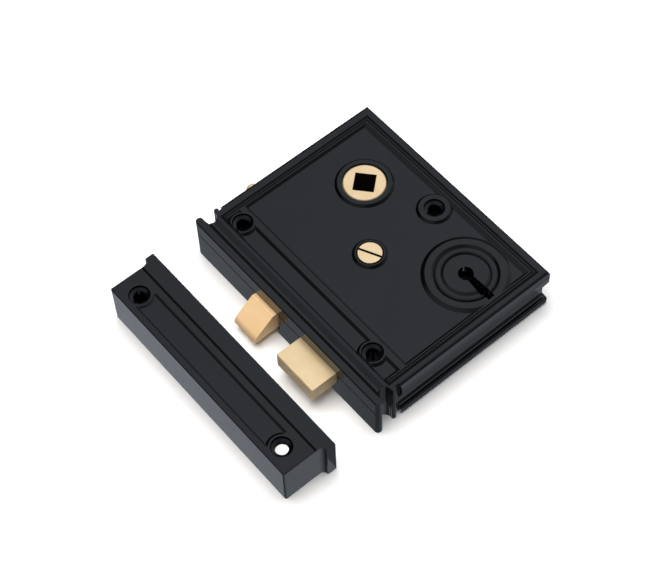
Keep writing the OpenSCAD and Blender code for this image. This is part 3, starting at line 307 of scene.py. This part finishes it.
def brass(name, tones=BRASS_TONES, metallic=BRASS_METALLIC, core_radius=None):
    """Brass; with a core radius, for the node of the same name, its core is painted dark and dull,
    a painted shade in its hole.
    """
    f = Finish(name)
    f.set(Metallic=metallic, IOR=BRASS_IOR)
    tone = f.clouded(BRASS_CLOUDS, tones)
    rough = f.ranged(f.noise(*BRASS_SHEEN), *BRASS_ROUGHNESS)
    if core_radius:
        # The core's dark tone, lost shine and lost metal are painted shade inside the hole
        low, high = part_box(name)
        core = f.core(centre_of(low, high), core_radius, high[2] - CORE_BELOW)
        tone = f.mixed(core, tone, CORE_SHADE_TONE)
        rough = f.math("MAXIMUM", rough, core)
        f.feed("Specular IOR Level", f.ranged(core, PLAIN_SPECULAR, CORE_SHADE_SPECULAR, (0, 1)))
        f.feed("Metallic", f.ranged(core, metallic, 0.0, (0, 1)))
    f.feed("Base Color", tone)
    f.feed("Roughness", rough)
    edges = f.eased_edges(BRASS_EDGE)
    f.feed("Normal", f.bumped(f.noise(*BRASS_GRAIN), *BRASS_GRAIN_BUMP, edges))
    return f.material


def steel(name, dark, light, rough):
    f = Finish(name)
    f.set(Metallic=1.0)
    f.feed("Base Color", f.clouded(STEEL_CLOUDS, (dark, light)))
    lines = f.noise(*STEEL_LINES, f.stretched(STEEL_LINES_PER_METRE))
    lowest, highest = rough - STEEL_ROUGHNESS_EACH_WAY, rough + STEEL_ROUGHNESS_EACH_WAY
    f.feed("Roughness", f.ranged(lines, lowest, highest))
    edges = f.eased_edges(STEEL_EDGE)
    f.feed("Normal", f.bumped(lines, *STEEL_LINE_BUMP, edges))
    return f.material


def paper_white():
    f = Finish("floor_white")
    f.set(Specular_IOR_Level=FLOOR_SPECULAR)
    f.feed("Base Color", f.clouded(FLOOR_CLOUDS, FLOOR_TONES))
    f.feed("Roughness", f.ranged(f.noise(*FLOOR_SHEEN), *FLOOR_ROUGHNESS))
    return f.material


def make_materials():
    """Give each node its slot's finish, or the finish made for that node alone."""
    made = {"black_enamel": black_enamel(), "brass": brass("brass")}
    made.update({name: steel(name, *values) for name, values in STEELS.items()})
    made_for = {
        "follower": brass("follower", core_radius=SPINDLE_CORE_RADIUS),
        "case_screw": brass("case_screw", core_radius=SLOT_CORE_RADIUS),
        "latch_bolt": brass("latch_bolt", CAST_BRASS_TONES, CAST_BRASS_METALLIC),
    }
    for part in frame["record"]["subparts"]:
        node = frame["nodes"][part["node"]]
        for slot in node.material_slots:
            slot.material = made_for.get(part["node"], made[part["material_slot"]])


def shorten_coil():
    """Give the latch's coil a mesh of its own."""
    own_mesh(frame["nodes"]["latch_spring"])


def make_floor():
    bpy.ops.mesh.primitive_plane_add(size=FLOOR_SIZE, location=(0, 0, FLOOR_HEIGHT))
    floor = bpy.context.object
    floor.name = "floor"
    floor.data.materials.append(paper_white())
    floor.visible_glossy = False


def make_shade_card(name, low, high, levels):
    """A dim glowing card on the floor that only reflections see, a painted reflection of shaded
    floor, with its levels at its -Y and +Y ends.
    """
    bpy.ops.mesh.primitive_plane_add(size=1, location=(*centre_of(low, high), CARD_HEIGHT))
    card = bpy.context.object
    card.name = name
    card.scale = (high[0] - low[0], high[1] - low[1], 1)
    painted_reflection = Finish(name)
    painted_reflection.set(Base_Color=(0, 0, 0, 1), Specular_IOR_Level=0.0, Emission_Color=(*STUDIO_WHITE, 1))
    along = painted_reflection.split()[1]
    # The emission levels are painted shade of the floor, as reflections see it
    painted_reflection.feed("Emission Strength", painted_reflection.ranged(along, *levels, CARD_ENDS))
    card.data.materials.append(painted_reflection.material)
    card.visible_camera = False
    card.visible_diffuse = False
    card.visible_shadow = False
    card.visible_transmission = False


def make_shade_cards():
    """Painted shade in reflections for the floor's shaded parts: beside the keep, at the lock's
    front foot and under the keep.
    """
    low, high = cad_box
    keep_low, keep_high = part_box("keep_box")
    lock_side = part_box("front_case")[0][0]
    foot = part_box("back_plate")[0][1]
    make_shade_card("gap_shade_card", (keep_high[0], low[1] - GAP_CARD_PAST),
              (lock_side, high[1] + GAP_CARD_PAST), GAP_CARD_SHADE_LEVELS)
    make_shade_card("foot_shade_card", (lock_side, foot - FOOT_CARD_DEPTH), (high[0], foot), FOOT_CARD_SHADE_LEVELS)
    make_shade_card("keep_shade_card", (keep_low[0] + KEEP_CARD_IN, keep_low[1] + KEEP_CARD_IN),
              (keep_high[0] - KEEP_CARD_IN, keep_high[1] - KEEP_CARD_IN), KEEP_CARD_SHADE_LEVELS)


def make_sky():
    """The studio round the part: the sum of its glows and shades, never below its darkest."""
    world = bpy.data.worlds.new("studio")
    world.use_nodes = True
    tree = world.node_tree
    where = tree.nodes.new("ShaderNodeTexCoord").outputs["Generated"]
    total = STUDIO_DIM
    for direction, start, full, level, curve in GLOWS:
        facing = tree.nodes.new("ShaderNodeVectorMath")
        facing.operation = "DOT_PRODUCT"
        facing.inputs[1].default_value = Vector(direction).normalized()
        tree.links.new(where, facing.inputs[0])
        part = tree.nodes.new("ShaderNodeMapRange")
        part.inputs["From Min"].default_value = start
        part.inputs["From Max"].default_value = full
        tree.links.new(facing.outputs["Value"], part.inputs["Value"])
        shaped = math_node(tree, "POWER", part.outputs["Result"], curve)
        total = math_node(tree, "ADD", math_node(tree, "MULTIPLY", shaped, level), total)
    background = tree.nodes["Background"]
    background.inputs["Color"].default_value = (*STUDIO_WHITE, 1)
    strength = math_node(tree, "MAXIMUM", total, STUDIO_DARKEST)
    tree.links.new(strength, background.inputs["Strength"])
    bpy.context.scene.world = world


def make_softbox(name, place, aim, size, power):
    data = bpy.data.lights.new(name, "AREA")
    data.shape = "RECTANGLE"
    data.size, data.size_y = size
    data.energy = power
    light = bpy.data.objects.new(name, data)
    light.location = place
    light.rotation_euler = (Vector(place) - Vector(aim)).to_track_quat("Z", "Y").to_euler()
    light.visible_glossy = False
    bpy.context.scene.collection.objects.link(light)


def make_studio():
    make_floor()
    make_shade_cards()
    make_sky()
    for name, values in SOFTBOXES.items():
        make_softbox(name, *values)
    view = bpy.context.scene.view_settings
    view.view_transform = "Standard"
    view.look = "None"


make_camera()
make_materials()
shorten_coil()
make_studio()
